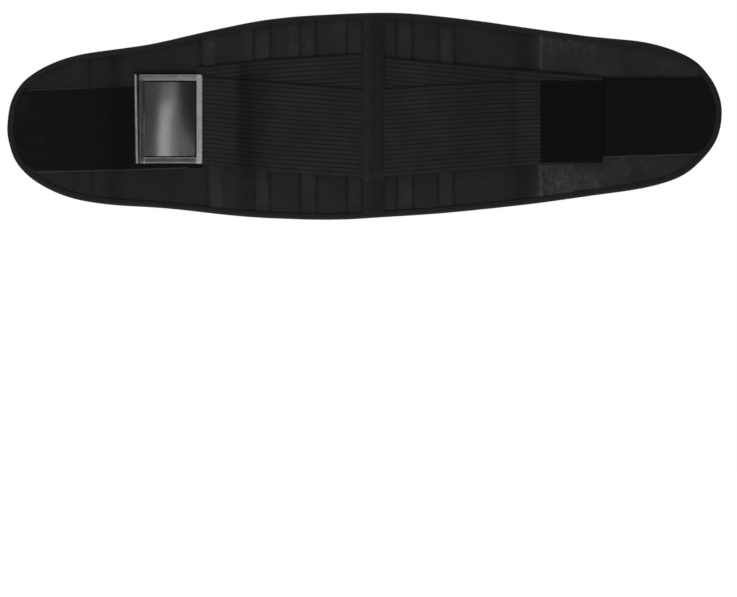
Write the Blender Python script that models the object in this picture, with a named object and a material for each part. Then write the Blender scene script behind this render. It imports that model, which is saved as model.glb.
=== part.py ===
"""Lumbar support belt, opened out flat, as an assembly of sewn pieces.

X runs along the belt, Z runs up the wearer's back, and the outer face looks towards -Y. The origin is on
the inner face of the lining, at the middle of the back. Sizes are in millimetres until to_metres().
"""

import math

import bpy
import bmesh
from mathutils import Vector

OBJECT_NAME = "lumbar_support_belt"
MM = 0.001
GAP = 0.3

# Where the belt bends: one vertical line between each pair of neighbouring sections.
LEFT_BENDS = (-96.0, -188.0, -310.0)
RIGHT_BENDS = (73.0, 198.0, 315.0)
BEND_AXIS_Y = 1.2
BELT_END = 440.0

# The finished edge, clockwise from the left tip. The left wing droops a little.
OUTLINE = (
    (-431, -8), (-424, 24), (-401, 51), (-351, 73), (-261, 87), (-189, 103), (-117, 117), (-45, 123),
    (40, 125), (124, 117), (196, 107), (269, 97), (341, 89), (390, 72), (414, 50), (427, 25),
    (430, 0), (424, -27), (408, -50), (381, -72), (337, -86), (269, -96), (196, -106), (100, -116),
    (28, -121), (-45, -124.5), (-141, -121), (-237, -111), (-310, -106), (-358, -97), (-396, -79),
    (-419, -57), (-429, -32),
)
OUTLINE_STEPS = 3

# Layers, as (outer y, inner y).
LAMINATE_Y = (-5.3, -1.3)
LINING_Y = (-1.0, 0.0)
BINDING_Y = (-6.3, 0.8)
BINDING_POCKET_Y = (-5.6, 0.3)
LOOP_PANEL_Y = (-6.4, -5.6)
UPPER_WEB_Y = (-8.0, -6.7)
LOWER_WEB_Y = (-9.6, -8.3)
COVER_Y = (-10.2, -5.6)
TAB_HOOK_Y = (-7.5, -6.7)
TAB_BACKING_Y = (-9.0, -7.8)
TAB_FACE_Y = (-11.0, -9.3)
LABEL_FRAME_Y = (-11.6, -9.3)
HOOK_PANEL_Y = (0.3, 1.3)
TAG_Y = (0.3, 0.7)

# Edge binding: a folded tape.
BINDING_WIDTH = 7.0
BINDING_WALL = 1.3
POCKET_OVERRUN = 1.0
LAYER_INSET = BINDING_WALL + GAP
FACE_INSET = BINDING_WIDTH + 0.5

# Steel stays in their channels.
STAY_CENTRES = (-124.0, -68.0, -12.0, 48.0, 98.0)
STAY_WIDTH = 12.0
STAY_THICKNESS = 1.2
STAY_END_CLEARANCE = 20.0
CHANNEL_WIDTH = 12.6
CHANNEL_DEPTH = 1.5

# Welts on the inner face, as (low x, high x).
LEFT_WELT = (-215.6, -189.4)
RIGHT_WELT = (170.0, 189.4)
WELT_HEIGHT = 4.2
WELT_STEPS = 10

# The strip that covers the webs' inner ends.
COVER_X = (-3.6, 22.9)
WEB_END_GAP = 0.6

# Elastic webs: the top and bottom edges of each, from the cover strip outwards.
LEFT_UPPER_WEB = (((-4, 75.5), (-75, 71), (-130, 67.6), (-207, 58)), ((-4, -33), (-207, -49)))
LEFT_LOWER_WEB = (((-4, 33), (-54, 36), (-111, 41), (-207, 49)), ((-4, -74), (-111, -67), (-207, -56.5)))
RIGHT_UPPER_WEB = (((23, 71), (78, 64), (126, 59.5), (208, 51)), ((23, -34), (208, -52)))
RIGHT_LOWER_WEB = (((23, 33), (78, 37), (150, 41), (208, 42)), ((23, -73), (208, -58)))
WEB_STRETCH_X = (-142.0, 135.0)

# Tabs at the webs' outer ends, and the loop panels that they grip.
LEFT_TAB_X = (-277.6, -195.7)
LEFT_TAB_Z = (-57.0, 50.0)
LABEL_BORDER = 9.0
LABEL_CORNER = 3.0
RIGHT_TAB = ((211, 42.6), (285.5, 42.6), (285.5, -56), (211, -56))
RIGHT_BACKING = ((198.9, 52), (285.5, 47), (285.5, -56.5), (198.9, -59))
TAB_HOOK_MARGIN = 5.0

# Loop panels: the line of each one's top edge and of its bottom edge, from its inner end outwards.
LEFT_LOOP_PANEL = (((-195.9, 40), (-412, 32.3)), ((-195.9, -62), (-394, -68)))
RIGHT_LOOP_PANEL = (((198.9, 49), (398, 49.5)), ((198.9, -52), (398, -46)))

# Inner face.
HOOK_PANEL_X = -338.0
TAG_SIZE = 10.7
TAG_CENTRE = (-332.2, -7.0)

COLOURS = {
    "laminate": ((0.014, 0.013, 0.013), 0.95, 0.0),
    "lining": ((0.011, 0.011, 0.012), 0.9, 0.0),
    "binding": ((0.009, 0.010, 0.009), 0.8, 0.0),
    "stay": ((0.55, 0.56, 0.58), 0.3, 1.0),
    "welt": ((0.012, 0.012, 0.013), 0.85, 0.0),
    "cover": ((0.015, 0.015, 0.015), 0.85, 0.0),
    "web": ((0.017, 0.017, 0.017), 0.75, 0.0),
    "loop": ((0.005, 0.005, 0.006), 1.0, 0.0),
    "hook": ((0.015, 0.014, 0.018), 0.5, 0.0),
    "backing": ((0.010, 0.010, 0.010), 0.9, 0.0),
    "label": ((0.03, 0.03, 0.032), 0.15, 0.0),
    "tag": ((0.8, 0.8, 0.78), 0.8, 0.0),
}


# --- outlines, as lists of (x, z) in millimetres ---


def spline(points, steps):
    """A closed Catmull-Rom curve through the points."""
    found = []
    count = len(points)
    for i in range(count):
        before, start, end, after = (Vector(points[(i + k) % count]) for k in (-1, 0, 1, 2))
        for k in range(steps):
            t = k / steps
            found.append(0.5 * (
                2 * start
                + (end - before) * t
                + (2 * before - 5 * start + 4 * end - after) * t ** 2
                + (3 * start - before - 3 * end + after) * t ** 3
            ))
    return [(p.x, p.y) for p in found]


def inset(points, distance):
    """A clockwise outline moved inwards by the distance."""
    found = []
    count = len(points)
    for i in range(count):
        along = Vector(points[(i + 1) % count]) - Vector(points[i - 1])
        inward = Vector((along.y, -along.x)).normalized()
        found.append(tuple(Vector(points[i]) + inward * distance))
    return found


def clipped(points, side):
    """The part of a closed outline where side, a linear function of x and z, isn't negative."""
    found = []
    for i, (x1, z1) in enumerate(points):
        x0, z0 = points[i - 1]
        start, end = side(x0, z0), side(x1, z1)
        if start * end < 0:
            share = start / (start - end)
            found.append((x0 + (x1 - x0) * share, z0 + (z1 - z0) * share))
        if end >= 0:
            found.append((x1, z1))
    return found


def cut_at(points, line_x, keep):
    """The part of a closed outline below line_x (keep is -1) or above it (keep is +1)."""
    return clipped(points, lambda x, z: (x - line_x) * keep)


def cut_along(points, line, keep):
    """The part of a closed outline under a sloped line (keep is -1) or over it (keep is +1)."""
    (x0, z0), (x1, z1) = line
    slope = (z1 - z0) / (x1 - x0)
    return clipped(points, lambda x, z: (z - z0 - slope * (x - x0)) * keep)


def between(points, low, high):
    return cut_at(cut_at(points, low, 1), high, -1)


def edge_height(points, x, top):
    """The height of an outline's top or bottom edge at x."""
    heights = []
    for i, (x1, z1) in enumerate(points):
        x0, z0 = points[i - 1]
        if min(x0, x1) <= x <= max(x0, x1) and x0 != x1:
            heights.append(z0 + (z1 - z0) * (x - x0) / (x1 - x0))
    return max(heights) if top else min(heights)


def rectangle(low_x, high_x, low_z, high_z):
    return [(low_x, high_z), (high_x, high_z), (high_x, low_z), (low_x, low_z)]


def rounded_rectangle(low_x, high_x, low_z, high_z, radius, steps=3):
    found = []
    corners = (
        (high_x - radius, high_z - radius, 0),
        (low_x + radius, high_z - radius, 90),
        (low_x + radius, low_z + radius, 180),
        (high_x - radius, low_z + radius, 270),
    )
    for x, z, start in corners:
        for k in range(steps + 1):
            angle = math.radians(start + 90 * k / steps)
            found.append((x + radius * math.cos(angle), z + radius * math.sin(angle)))
    return found


def band(web, low, high):
    """The stretch of a web between two lines, from its top and bottom edges."""
    top, bottom = web
    return between(list(top) + list(reversed(bottom)), low, high)


EDGE = spline(OUTLINE, OUTLINE_STEPS)
LAYER_EDGE = inset(EDGE, LAYER_INSET)
FACE_EDGE = inset(EDGE, FACE_INSET)


# --- objects ---


def to_metres(value):
    return value * MM


def collection(name):
    made = bpy.data.collections.new(name)
    bpy.context.scene.collection.children.link(made)
    return made


def material(name):
    colour, roughness, metallic = COLOURS[name]
    made = bpy.data.materials.new(name)
    made.use_nodes = True
    shader = made.node_tree.nodes["Principled BSDF"]
    shader.inputs["Base Color"].default_value = (*colour, 1.0)
    shader.inputs["Roughness"].default_value = roughness
    shader.inputs["Metallic"].default_value = metallic
    return made


class Assembly:
    """The collections, and the empty that carries each section's pieces."""

    def __init__(self):
        self.pieces = collection(OBJECT_NAME)
        self.cutters = collection("cutters")
        self.bodies = {}

    def add_body(self, name, axis_xy, parent=None):
        empty = bpy.data.objects.new(name + "_axis", None)
        empty.empty_display_size = to_metres(20)
        self.pieces.objects.link(empty)
        empty.location = (to_metres(axis_xy[0]), to_metres(axis_xy[1]), 0)
        if parent:
            empty.parent = self.bodies[parent]
            empty.location -= Vector(self.bodies[parent]["at"])
        empty["at"] = (to_metres(axis_xy[0]), to_metres(axis_xy[1]), 0.0)
        self.bodies[name] = empty

    def carry(self, piece, body):
        """Parents a piece to its section's empty without moving it."""
        empty = self.bodies[body]
        piece.parent = empty
        piece.location -= Vector(empty["at"])
        return piece

    def slab(self, name, body, kind, outline, layer, holes=()):
        """A flat piece: an outline in the XZ plane, between the layer's two faces."""
        curve = bpy.data.curves.new(name, "CURVE")
        curve.dimensions = "2D"
        curve.fill_mode = "BOTH"
        curve.extrude = to_metres(layer[1] - layer[0]) / 2
        for ring in (outline, *holes):
            path = curve.splines.new("POLY")
            path.points.add(len(ring) - 1)
            path.use_cyclic_u = True
            for point, (x, z) in zip(path.points, ring):
                point.co = (to_metres(x), to_metres(z), 0, 1)
        piece = bpy.data.objects.new(name, curve)
        piece.rotation_euler = (math.pi / 2, 0, 0)
        piece.location = (0, to_metres(sum(layer)) / 2, 0)
        if body is None:
            self.cutters.objects.link(piece)
            return piece
        self.pieces.objects.link(piece)
        curve.materials.append(material(kind))
        return self.carry(piece, body)

    def as_mesh(self, piece):
        """The same piece as a welded mesh, so that it can be cut or can cut."""
        bpy.context.view_layer.update()
        graph = bpy.context.evaluated_depsgraph_get()
        mesh = bpy.data.meshes.new_from_object(piece.evaluated_get(graph))
        edit = bmesh.new()
        edit.from_mesh(mesh)
        bmesh.ops.remove_doubles(edit, verts=edit.verts, dist=to_metres(0.001))
        bmesh.ops.recalc_face_normals(edit, faces=edit.faces)
        edit.to_mesh(mesh)
        edit.free()
        name, parent, world = piece.name, piece.parent, piece.matrix_world.copy()
        home = piece.users_collection[0]
        bpy.data.objects.remove(piece)
        made = bpy.data.objects.new(name, mesh)
        home.objects.link(made)
        made.parent = parent
        made.matrix_world = world
        return made

    def cutter(self, name, outline, layer):
        made = self.as_mesh(self.slab(name, None, None, outline, layer))
        made.hide_render = True
        made.display_type = "WIRE"
        return made

    def cut(self, piece, cutter):
        change = piece.modifiers.new(cutter.name, "BOOLEAN")
        change.operation = "DIFFERENCE"
        change.object = cutter


# --- the belt's layers ---


def sections():
    """Each section of the belt as (body, low x, high x), with half a gap left at each bend."""
    left_1, left_2, left_3 = LEFT_BENDS
    right_1, right_2, right_3 = RIGHT_BENDS
    lines = (
        ("left_tip", -BELT_END, left_3),
        ("left_wing", left_3, left_2),
        ("left_side", left_2, left_1),
        ("back_panel", left_1, right_1),
        ("right_side", right_1, right_2),
        ("right_wing", right_2, right_3),
        ("right_tip", right_3, BELT_END),
    )
    return [(name, low + GAP, high - GAP) for name, low, high in lines]


def stay_span(x, clearance):
    low = edge_height(LAYER_EDGE, x, False) + clearance
    high = edge_height(LAYER_EDGE, x, True) - clearance
    return low, high


def make_laminates(belt):
    """Foam rubber with the velour shell bonded to it, grooved on its inner side for the stays."""
    for body, low, high in sections():
        piece = belt.slab("laminate_" + body, body, "laminate", between(LAYER_EDGE, low, high), LAMINATE_Y)
        inside = [x for x in STAY_CENTRES if low < x < high]
        if not inside:
            continue
        piece = belt.as_mesh(piece)
        for x in inside:
            low_z, high_z = stay_span(x, STAY_END_CLEARANCE - GAP)
            groove = rectangle(x - CHANNEL_WIDTH / 2, x + CHANNEL_WIDTH / 2, low_z, high_z)
            depth = (LAMINATE_Y[1] - CHANNEL_DEPTH, LAMINATE_Y[1] + 1)
            belt.cut(piece, belt.cutter(f"channel_{STAY_CENTRES.index(x) + 1}", groove, depth))


def make_linings(belt):
    for body, low, high in sections():
        belt.slab("lining_" + body, body, "lining", between(LAYER_EDGE, low, high), LINING_Y)


def make_stays(belt):
    """Flat spring-steel strips with round ends, one in each channel."""
    for number, x in enumerate(STAY_CENTRES, 1):
        body = next(name for name, low, high in sections() if low < x < high)
        low_z, high_z = stay_span(x, STAY_END_CLEARANCE)
        outline = rounded_rectangle(
            x - STAY_WIDTH / 2, x + STAY_WIDTH / 2, low_z, high_z, STAY_WIDTH / 2 - 0.5, steps=5
        )
        outer = LAMINATE_Y[1] - CHANNEL_DEPTH + GAP
        belt.slab(f"stay_{number}", body, "stay", outline, (outer, outer + STAY_THICKNESS))


def make_bindings(belt):
    """Tape folded over the edge: a strip along the edge with a pocket that holds the layers."""
    inner_edge = inset(EDGE, BINDING_WIDTH)
    pocket_edge = inset(EDGE, BINDING_WALL)
    for body, low, high in sections():
        at_tip = body.endswith("_tip")
        sides = ("end",) if at_tip else ("top", "bottom")
        for side in sides:
            if at_tip:
                strip = tip_strip(EDGE, inner_edge, low, high)
            else:
                strip = edge_strip(EDGE, inner_edge, low, high, side == "top")
            piece = belt.as_mesh(belt.slab(f"binding_{body}_{side}", body, "binding", strip, BINDING_Y))
            pocket = between(pocket_edge, low - POCKET_OVERRUN, high + POCKET_OVERRUN)
            belt.cut(piece, belt.cutter(f"pocket_{body}_{side}", pocket, BINDING_POCKET_Y))


def edge_strip(outer, inner, low, high, top):
    """The strip between two outlines along the top or the bottom edge."""
    out = sorted(p for p in between(outer, low, high) if (p[1] > 0) == top)
    back = sorted((p for p in between(inner, low, high) if (p[1] > 0) == top), reverse=True)
    return out + back


def tip_strip(outer, inner, low, high):
    """The strip between two outlines round a tip, open towards the middle of the belt."""
    line = low if low > 0 else high
    runs = []
    for outline in (outer, inner):
        points = between(outline, low, high)
        on_line = [i for i, (x, z) in enumerate(points) if math.isclose(x, line)]
        first, last = on_line[0], on_line[-1]
        run = points[last:] + points[:first + 1] if last - first == 1 else points[first:last + 1]
        runs.append(run)
    return runs[0] + list(reversed(runs[1]))


def make_welts(belt):
    """Half-round padded rolls sewn across the inner face."""
    welts = (("left_welt", "left_wing", LEFT_WELT), ("right_welt", "right_side", RIGHT_WELT))
    for name, body, (low, high) in welts:
        centre, half = (low + high) / 2, (high - low) / 2
        top = min(edge_height(FACE_EDGE, x, True) for x in (low, high))
        bottom = max(edge_height(FACE_EDGE, x, False) for x in (low, high))
        curve = bpy.data.curves.new(name, "CURVE")
        curve.dimensions = "2D"
        curve.fill_mode = "BOTH"
        curve.extrude = to_metres(top - bottom) / 2
        path = curve.splines.new("POLY")
        path.points.add(WELT_STEPS)
        path.use_cyclic_u = True
        for k, point in enumerate(path.points):
            angle = math.pi * k / WELT_STEPS
            x = centre + half * math.cos(angle)
            y = GAP + WELT_HEIGHT * math.sin(angle)
            point.co = (to_metres(x), to_metres(y), 0, 1)
        piece = bpy.data.objects.new(name, curve)
        piece.location = (0, 0, to_metres(top + bottom) / 2)
        belt.pieces.objects.link(piece)
        curve.materials.append(material("welt"))
        belt.carry(piece, body)


# --- what is sewn on the outer face ---


def make_cover(belt):
    low_x, high_x = COVER_X
    belt.slab("centre_cover", "back_panel", "cover", between(FACE_EDGE, low_x, high_x), COVER_Y)


def make_webs(belt):
    """Two crossing elastic webs on each side, in three stretches each."""
    left_lines = (COVER_X[0] - WEB_END_GAP + GAP, LEFT_BENDS[0], WEB_STRETCH_X[0], LEFT_BENDS[1])
    right_lines = (COVER_X[1] + WEB_END_GAP - GAP, RIGHT_BENDS[0], WEB_STRETCH_X[1], RIGHT_BENDS[1])
    webs = (
        ("left", "upper", LEFT_UPPER_WEB, UPPER_WEB_Y, left_lines),
        ("left", "lower", LEFT_LOWER_WEB, LOWER_WEB_Y, left_lines),
        ("right", "upper", RIGHT_UPPER_WEB, UPPER_WEB_Y, right_lines),
        ("right", "lower", RIGHT_LOWER_WEB, LOWER_WEB_Y, right_lines),
    )
    for side, level, web, layer, lines in webs:
        for number in (1, 2, 3):
            low, high = sorted(lines[number - 1:number + 1])
            outline = band(web, low + GAP, high - GAP)
            name = f"{side}_{level}_web_{number}"
            belt.slab(name, f"{side}_strap_{number}", "web", outline, layer)


def make_left_tab(belt):
    low_x, high_x = LEFT_TAB_X
    low_z, high_z = LEFT_TAB_Z
    body = "left_tab"
    inner = LEFT_BENDS[1] - 0.9
    belt.slab("left_tab_backing", body, "backing", rectangle(low_x, inner, low_z, high_z), TAB_BACKING_Y)
    m = TAB_HOOK_MARGIN
    hook = rectangle(low_x + m, inner - m, low_z + m, high_z - m)
    belt.slab("left_tab_hook_pad", body, "hook", hook, TAB_HOOK_Y)
    frame = rounded_rectangle(low_x, high_x, low_z, high_z, LABEL_CORNER)
    b = LABEL_BORDER
    window = rounded_rectangle(low_x + b, high_x - b, low_z + b, high_z - b, LABEL_CORNER)
    belt.slab("left_tab_label_frame", body, "label", frame, LABEL_FRAME_Y, holes=(window,))
    b = LABEL_BORDER + GAP
    face = rounded_rectangle(low_x + b, high_x - b, low_z + b, high_z - b, LABEL_CORNER)
    belt.slab("left_tab_label_plate", body, "label", face, TAB_FACE_Y)


def make_right_tab(belt):
    body = "right_tab"
    belt.slab("right_tab_backing", body, "backing", RIGHT_BACKING, TAB_BACKING_Y)
    belt.slab("right_tab_loop_pad", body, "loop", RIGHT_TAB, TAB_FACE_Y)
    xs, zs = zip(*RIGHT_BACKING)
    m = TAB_HOOK_MARGIN
    hook = rectangle(min(xs) + m, max(xs) - m, min(zs) + 2 * m, max(zs) - 2 * m)
    belt.slab("right_tab_hook_pad", body, "hook", hook, TAB_HOOK_Y)


def make_loop_panels(belt):
    """Loop cloth from each tab's inner end out to the binding round the tip."""
    panels = (("left", LEFT_LOOP_PANEL, LEFT_BENDS[2]), ("right", RIGHT_LOOP_PANEL, RIGHT_BENDS[2]))
    for side, (top, bottom), bend in panels:
        outward = -1 if side == "left" else 1
        whole = cut_at(cut_along(cut_along(FACE_EDGE, top, -1), bottom, 1), top[0][0], outward)
        for part, keep in (("wing", -outward), ("tip", outward)):
            outline = cut_at(whole, bend + keep * GAP, keep)
            belt.slab(f"{side}_loop_panel_{part}", f"{side}_{part}", "loop", outline, LOOP_PANEL_Y)


# --- what is sewn on the inner face ---


def make_hook_panel(belt):
    belt.slab("hook_panel", "left_tip", "hook", cut_at(FACE_EDGE, HOOK_PANEL_X, -1), HOOK_PANEL_Y)


def make_size_tag(belt):
    x, z = TAG_CENTRE
    half = TAG_SIZE / 2
    belt.slab("size_tag", "left_tip", "tag", rectangle(x - half, x + half, z - half, z + half), TAG_Y)


def add_bodies(belt):
    """One empty on each joint's axis, chained as the joints are."""
    belt.add_body("back_panel", (0, 0))
    for side, bends, sign, cover, stretch in (
        ("left", LEFT_BENDS, -1, COVER_X[0], WEB_STRETCH_X[0]),
        ("right", RIGHT_BENDS, 1, COVER_X[1], WEB_STRETCH_X[1]),
    ):
        chain = ("back_panel", side + "_side", side + "_wing", side + "_tip")
        for parent, name, x in zip(chain, chain[1:], bends):
            belt.add_body(name, (x, BEND_AXIS_Y), parent)
        peel_axis = (cover + sign * GAP, LOWER_WEB_Y[0] - GAP)
        belt.add_body(side + "_strap_1", peel_axis, "back_panel")
        belt.add_body(side + "_strap_2", (bends[0], BEND_AXIS_Y), side + "_strap_1")
        belt.add_body(side + "_strap_3", (stretch, LOWER_WEB_Y[0]), side + "_strap_2")
        belt.add_body(side + "_tab", (bends[1], BEND_AXIS_Y), side + "_strap_3")


def main():
    for old in list(bpy.data.objects):
        bpy.data.objects.remove(old)
    belt = Assembly()
    add_bodies(belt)
    make_laminates(belt)
    make_linings(belt)
    make_stays(belt)
    make_bindings(belt)
    make_welts(belt)
    make_cover(belt)
    make_webs(belt)
    make_left_tab(belt)
    make_right_tab(belt)
    make_loop_panels(belt)
    make_hook_panel(belt)
    make_size_tag(belt)


main()
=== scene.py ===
"""The looks of the lumbar support belt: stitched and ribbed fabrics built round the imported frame.

X runs along the belt, Z up, and the outer face looks towards -Y. Every size is in metres.
"""

import math

import bpy
import bmesh
import numpy as np
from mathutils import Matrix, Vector, geometry


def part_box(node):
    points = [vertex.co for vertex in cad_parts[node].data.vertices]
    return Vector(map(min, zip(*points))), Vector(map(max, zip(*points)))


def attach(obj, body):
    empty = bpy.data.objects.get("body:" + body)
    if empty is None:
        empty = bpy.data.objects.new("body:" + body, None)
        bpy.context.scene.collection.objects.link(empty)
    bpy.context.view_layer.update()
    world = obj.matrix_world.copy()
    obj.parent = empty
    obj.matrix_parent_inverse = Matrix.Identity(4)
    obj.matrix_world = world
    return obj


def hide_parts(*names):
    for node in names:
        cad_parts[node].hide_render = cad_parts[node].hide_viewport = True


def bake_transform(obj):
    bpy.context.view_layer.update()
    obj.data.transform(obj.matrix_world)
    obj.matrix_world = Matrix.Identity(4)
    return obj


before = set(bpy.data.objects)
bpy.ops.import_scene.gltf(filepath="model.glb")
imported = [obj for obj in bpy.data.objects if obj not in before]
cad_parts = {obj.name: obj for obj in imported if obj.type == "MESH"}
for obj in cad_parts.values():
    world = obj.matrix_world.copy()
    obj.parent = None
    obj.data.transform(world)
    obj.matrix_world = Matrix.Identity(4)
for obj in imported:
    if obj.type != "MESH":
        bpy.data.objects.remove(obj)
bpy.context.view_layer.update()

MM = 0.001

# Each length of the belt that bends about one joint:
# name, low x, high x, the two bodies, and where the bend starts and ends.
BELT = (
    ("left_end", -0.440, -0.250, "left_wing", "left_tip", -0.282, -0.338),
    ("left_flank", -0.250, -0.137, "left_side", "left_wing", -0.161, -0.215),
    ("left_back", -0.137, 0.000, "back_panel", "left_side", -0.074, -0.118),
    ("right_back", 0.000, 0.125, "back_panel", "right_side", 0.056, 0.090),
    ("right_flank", 0.125, 0.255, "right_side", "right_wing", 0.171, 0.225),
    ("right_end", 0.255, 0.440, "right_wing", "right_tip", 0.287, 0.343),
)
STRAPS = {
    "left": (
        ("a", -0.050, 0.004, "back_panel", "left_strap_1", -0.002, -0.012),
        ("b", -0.121, -0.050, "left_strap_1", "left_strap_2", -0.074, -0.118),
        ("c", -0.1605, -0.121, "left_strap_2", "left_strap_3", -0.124, -0.160),
        ("d", -0.2766, -0.1605, "left_strap_3", "left_tab", -0.161, -0.215),
    ),
    "right": (
        ("a", 0.0165, 0.045, "back_panel", "right_strap_1", 0.0215, 0.0315),
        ("b", 0.045, 0.096, "right_strap_1", "right_strap_2", 0.056, 0.090),
        ("c", 0.096, 0.165, "right_strap_2", "right_strap_3", 0.100, 0.160),
        ("d", 0.165, 0.2855, "right_strap_3", "right_tab", 0.171, 0.225),
    ),
}

LAYER_INSET = 1.6 * MM
BINDING_WIDTH = 7.0 * MM
CHANNEL_HALF = 9.85 * MM
WEB_WIDTH = 107 * MM
LEFT_WEBS_END = -203 * MM
RIBS = 20
POINTS_PER_RIB = 8
STITCH_PITCH = 3.2 * MM
STITCH_HALF = 1.05 * MM
THREAD_RADIUS = 0.27 * MM

# The welts, and their cloth simulation, which runs enlarged.
WELT_BASE = 0.1 * MM
WELT_RINGS = 105
SIM_SCALE = 10
SIM_FRAMES = 20
SIM_CAP = 2.4 * MM


# --- the frame's own shapes ---


def nodes_named(start):
    return [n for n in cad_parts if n.startswith(start)]


def points_of(piece):
    return np.array([v.co for v in piece.data.vertices])


def node_points(*names):
    return np.concatenate([points_of(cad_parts[n]) for n in names]).astype(float)


def travelled(path):
    """The distance along a path to each of its points."""
    return np.concatenate([[0], np.cumsum(np.linalg.norm(np.diff(path, axis=0), axis=1))])


def belt_edge(count=1100):
    """The belt's finished edge from the right tip, anticlockwise: even (x, z) points and inward normals."""
    solids = map(node_points, nodes_named("laminate_"))
    points = np.concatenate([p[p[:, 1] < p[:, 1].min() + 0.1 * MM][:, [0, 2]] for p in solids])
    points = np.unique(np.round(points, 5), axis=0)
    points = points[np.argsort(np.arctan2(points[:, 1], points[:, 0]))]
    points = points[np.linalg.norm(points - np.roll(points, 1, 0), axis=1) > 2 * MM]
    ring = np.concatenate([points[-3:], points, points[:4]])
    length = travelled(ring)
    low, high = length[3], length[3 + len(points)]
    at = np.linspace(low, high, count, endpoint=False)
    slopes = np.gradient(ring, length, axis=0)
    place = np.clip(np.searchsorted(length, at, "right") - 1, 0, len(ring) - 2)
    step = (length[place + 1] - length[place])[:, None]
    t = ((at - length[place])[:, None]) / step
    smooth = (
        (2 * t**3 - 3 * t**2 + 1) * ring[place]
        + (t**3 - 2 * t**2 + t) * step * slopes[place]
        + (3 * t**2 - 2 * t**3) * ring[place + 1]
        + (t**3 - t**2) * step * slopes[place + 1]
    )
    along = np.roll(smooth, -1, 0) - np.roll(smooth, 1, 0)
    along /= np.linalg.norm(along, axis=1)[:, None]
    inward = np.stack([-along[:, 1], along[:, 0]], 1)
    return smooth - inward * LAYER_INSET, inward


EDGE, INWARD = belt_edge()


def envelope(points):
    """Functions of x that give the lower and the upper edge of a closed outline, and its ends."""
    left, right = int(points[:, 0].argmin()), int(points[:, 0].argmax())
    turned = np.roll(points, -right, 0)
    split = (left - right) % len(points)

    def chain(part, keep):
        found = {}
        for x, z in part:
            x = round(float(x), 6)
            found[x] = keep(found.get(x, z), z)
        xs = sorted(found)
        return lambda x: np.interp(x, xs, [found[k] for k in xs])

    lower = chain(np.concatenate([turned[split:], turned[:1]]), min)
    upper = chain(turned[:split + 1], max)
    return lower, upper, points[left, 0], points[right, 0]


def node_outline(*names):
    """The lower and the upper edge of some CAD nodes' convex outline, and its ends."""
    points = np.unique(np.round(node_points(*names)[:, [0, 2]], 6), axis=0)
    return envelope(points[geometry.convex_hull_2d(points.tolist())])


BELT_LOW, BELT_HIGH = envelope(EDGE)[:2]
INSIDE_LOW, INSIDE_HIGH, INSIDE_LEFT, INSIDE_RIGHT = envelope(EDGE + INWARD * 3 * MM)
STAYS = sorted(float(sum(c[0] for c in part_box(n)) / 2) for n in nodes_named("stay_"))
CHANNEL_LINES = [x + side * CHANNEL_HALF for x in STAYS for side in (-1, 1)]


# --- surfaces ---


def smoothstep(t):
    t = np.clip(t, 0, 1)
    return t * t * (3 - 2 * t)


def cloud(x, z, size, seed):
    """Smooth noise from 0 to 1, with features of size millimetres."""
    lattice = np.random.default_rng(seed).random((97, 97))
    u, v = x / (size * MM) + 31.7, z / (size * MM) + 17.3
    i, j = np.floor(u).astype(int), np.floor(v).astype(int)
    fu, fv = smoothstep(u - i), smoothstep(v - j)
    a, b = lattice[i % 97, j % 97], lattice[(i + 1) % 97, j % 97]
    c, d = lattice[i % 97, (j + 1) % 97], lattice[(i + 1) % 97, (j + 1) % 97]
    return (a * (1 - fu) + b * fu) * (1 - fv) + (c * (1 - fu) + d * fu) * fv


def rough(x, z, size, seed):
    """Such noise with two finer octaves, about zero."""
    return sum(cloud(x, z, size / 2**k, seed + k) / 2**k for k in range(3)) - 0.875


def dent(distance, width):
    """1 on a line and near 0 at twice its width from it."""
    return np.exp(-((distance / width) ** 2))


def columns(low, high, step, fine=(), reach=2.6 * MM, fine_step=0.65 * MM):
    """Evenly spaced x from low to high, closer together by each fine line."""
    found = list(np.linspace(low, high, max(2, int(round((high - low) / step)) + 1)))
    for line in fine:
        found = [x for x in found if abs(x - line) > reach or x in (low, high)]
        found += [x for x in np.arange(line - reach, line + reach, fine_step) if low < x < high]
    found = sorted(found)
    kept = [found[0]]
    for x in found[1:-1]:
        if x - kept[-1] > 0.2 * MM and found[-1] - x > 0.2 * MM:
            kept.append(x)
    return np.array(kept + [found[-1]])


def level(value):
    """A surface or an edge that stays at one value."""
    return lambda x, *_: value + 0 * x


def place_object(name, data):
    made = bpy.data.objects.new(name, data)
    bpy.context.scene.collection.objects.link(made)
    return made


def make_object(name, points, faces, uv, material):
    mesh = bpy.data.meshes.new(name)
    mesh.from_pydata(np.asarray(points).tolist(), [], faces)
    made = place_object(name, mesh)
    layer = mesh.uv_layers.new(name="rest")
    corner = np.empty(len(mesh.loops), np.int32)
    mesh.loops.foreach_get("vertex_index", corner)
    layer.data.foreach_set("uv", np.asarray(uv, np.float32)[corner].ravel())
    mesh.materials.append(material)
    mesh.shade_smooth()
    mesh.set_sharp_from_angle(angle=math.radians(55))
    return made


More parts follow.
